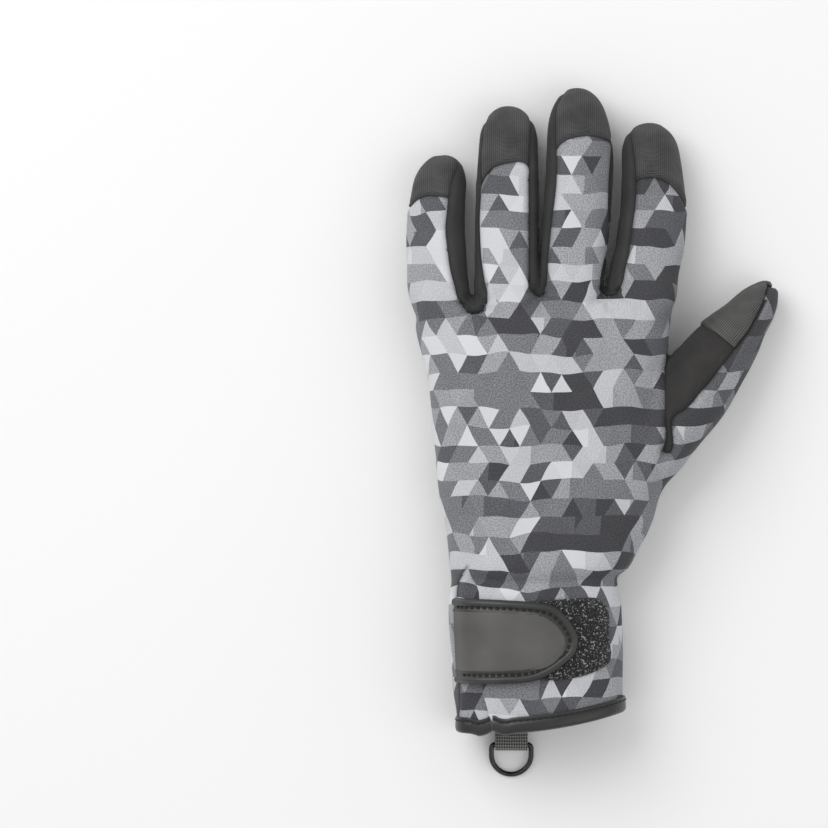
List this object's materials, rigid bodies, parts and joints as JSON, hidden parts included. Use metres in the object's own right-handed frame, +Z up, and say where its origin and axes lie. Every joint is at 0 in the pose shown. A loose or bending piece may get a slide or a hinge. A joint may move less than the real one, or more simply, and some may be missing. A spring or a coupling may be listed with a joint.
{
  "type": "diving glove",
  "caption": "Left-hand tropical diving glove with a printed back, grip patches on the palm, a wrist strap and a ring at the cuff.",
  "frame": {"origin": "on the surface that the glove lies on, under the middle of its box", "axes": "+Z up, out of the back of the hand; +Y from the cuff to the fingertips; +X to the thumb side"},
  "size_m": [0.142, 0.2625, 0.0408],
  "materials": {
    "printed_cloth": "polyester printed with a grey lattice of triangles, over thin foam",
    "suede": "synthetic suede, short napped",
    "strip_cloth": "smooth black stretch cloth over thin foam",
    "ribbed_cloth": "fine ribbed black knit",
    "grip_weave": "coated woven grip cloth with light threads",
    "binding": "coated binding cloth, stitched",
    "strap_rubber": "moulded rubber with a raised border",
    "strap_film": "smooth bare film",
    "loop_pile": "loop pile of a hook-and-loop closure",
    "webbing": "ribbed narrow webbing",
    "gunmetal": "black enamelled steel wire"
  },
  "bodies": {
    "glove_body": {"back_panel": "printed_cloth", "palm_panel": "suede", "thumb_panel": "suede", "side_strip_little_ring": "strip_cloth", "side_strip_ring_middle": "strip_cloth", "side_strip_middle_index": "strip_cloth", "cap_little": "ribbed_cloth", "cap_ring": "ribbed_cloth", "cap_middle": "ribbed_cloth", "cap_index": "ribbed_cloth", "palm_patch": "grip_weave", "grip_little": "grip_weave", "grip_ring": "grip_weave", "grip_middle": "grip_weave", "grip_index": "grip_weave", "grip_thumb": "grip_weave", "loop_patch": "loop_pile", "strap": "strap_rubber", "strap_face": "strap_film", "cuff_binding": "binding", "ring_tab": "webbing"},
    "ring_body": {"d_ring": "gunmetal"}
  },
  "joints": [
    {"name": "ring_swing", "type": "hinge", "parent": "glove_body", "child": "ring_body", "pos_m": [-0.03067, -0.1186, 0.0029], "axis": [-1, 0, 0], "range_deg": [-120, 150]}
  ]
}
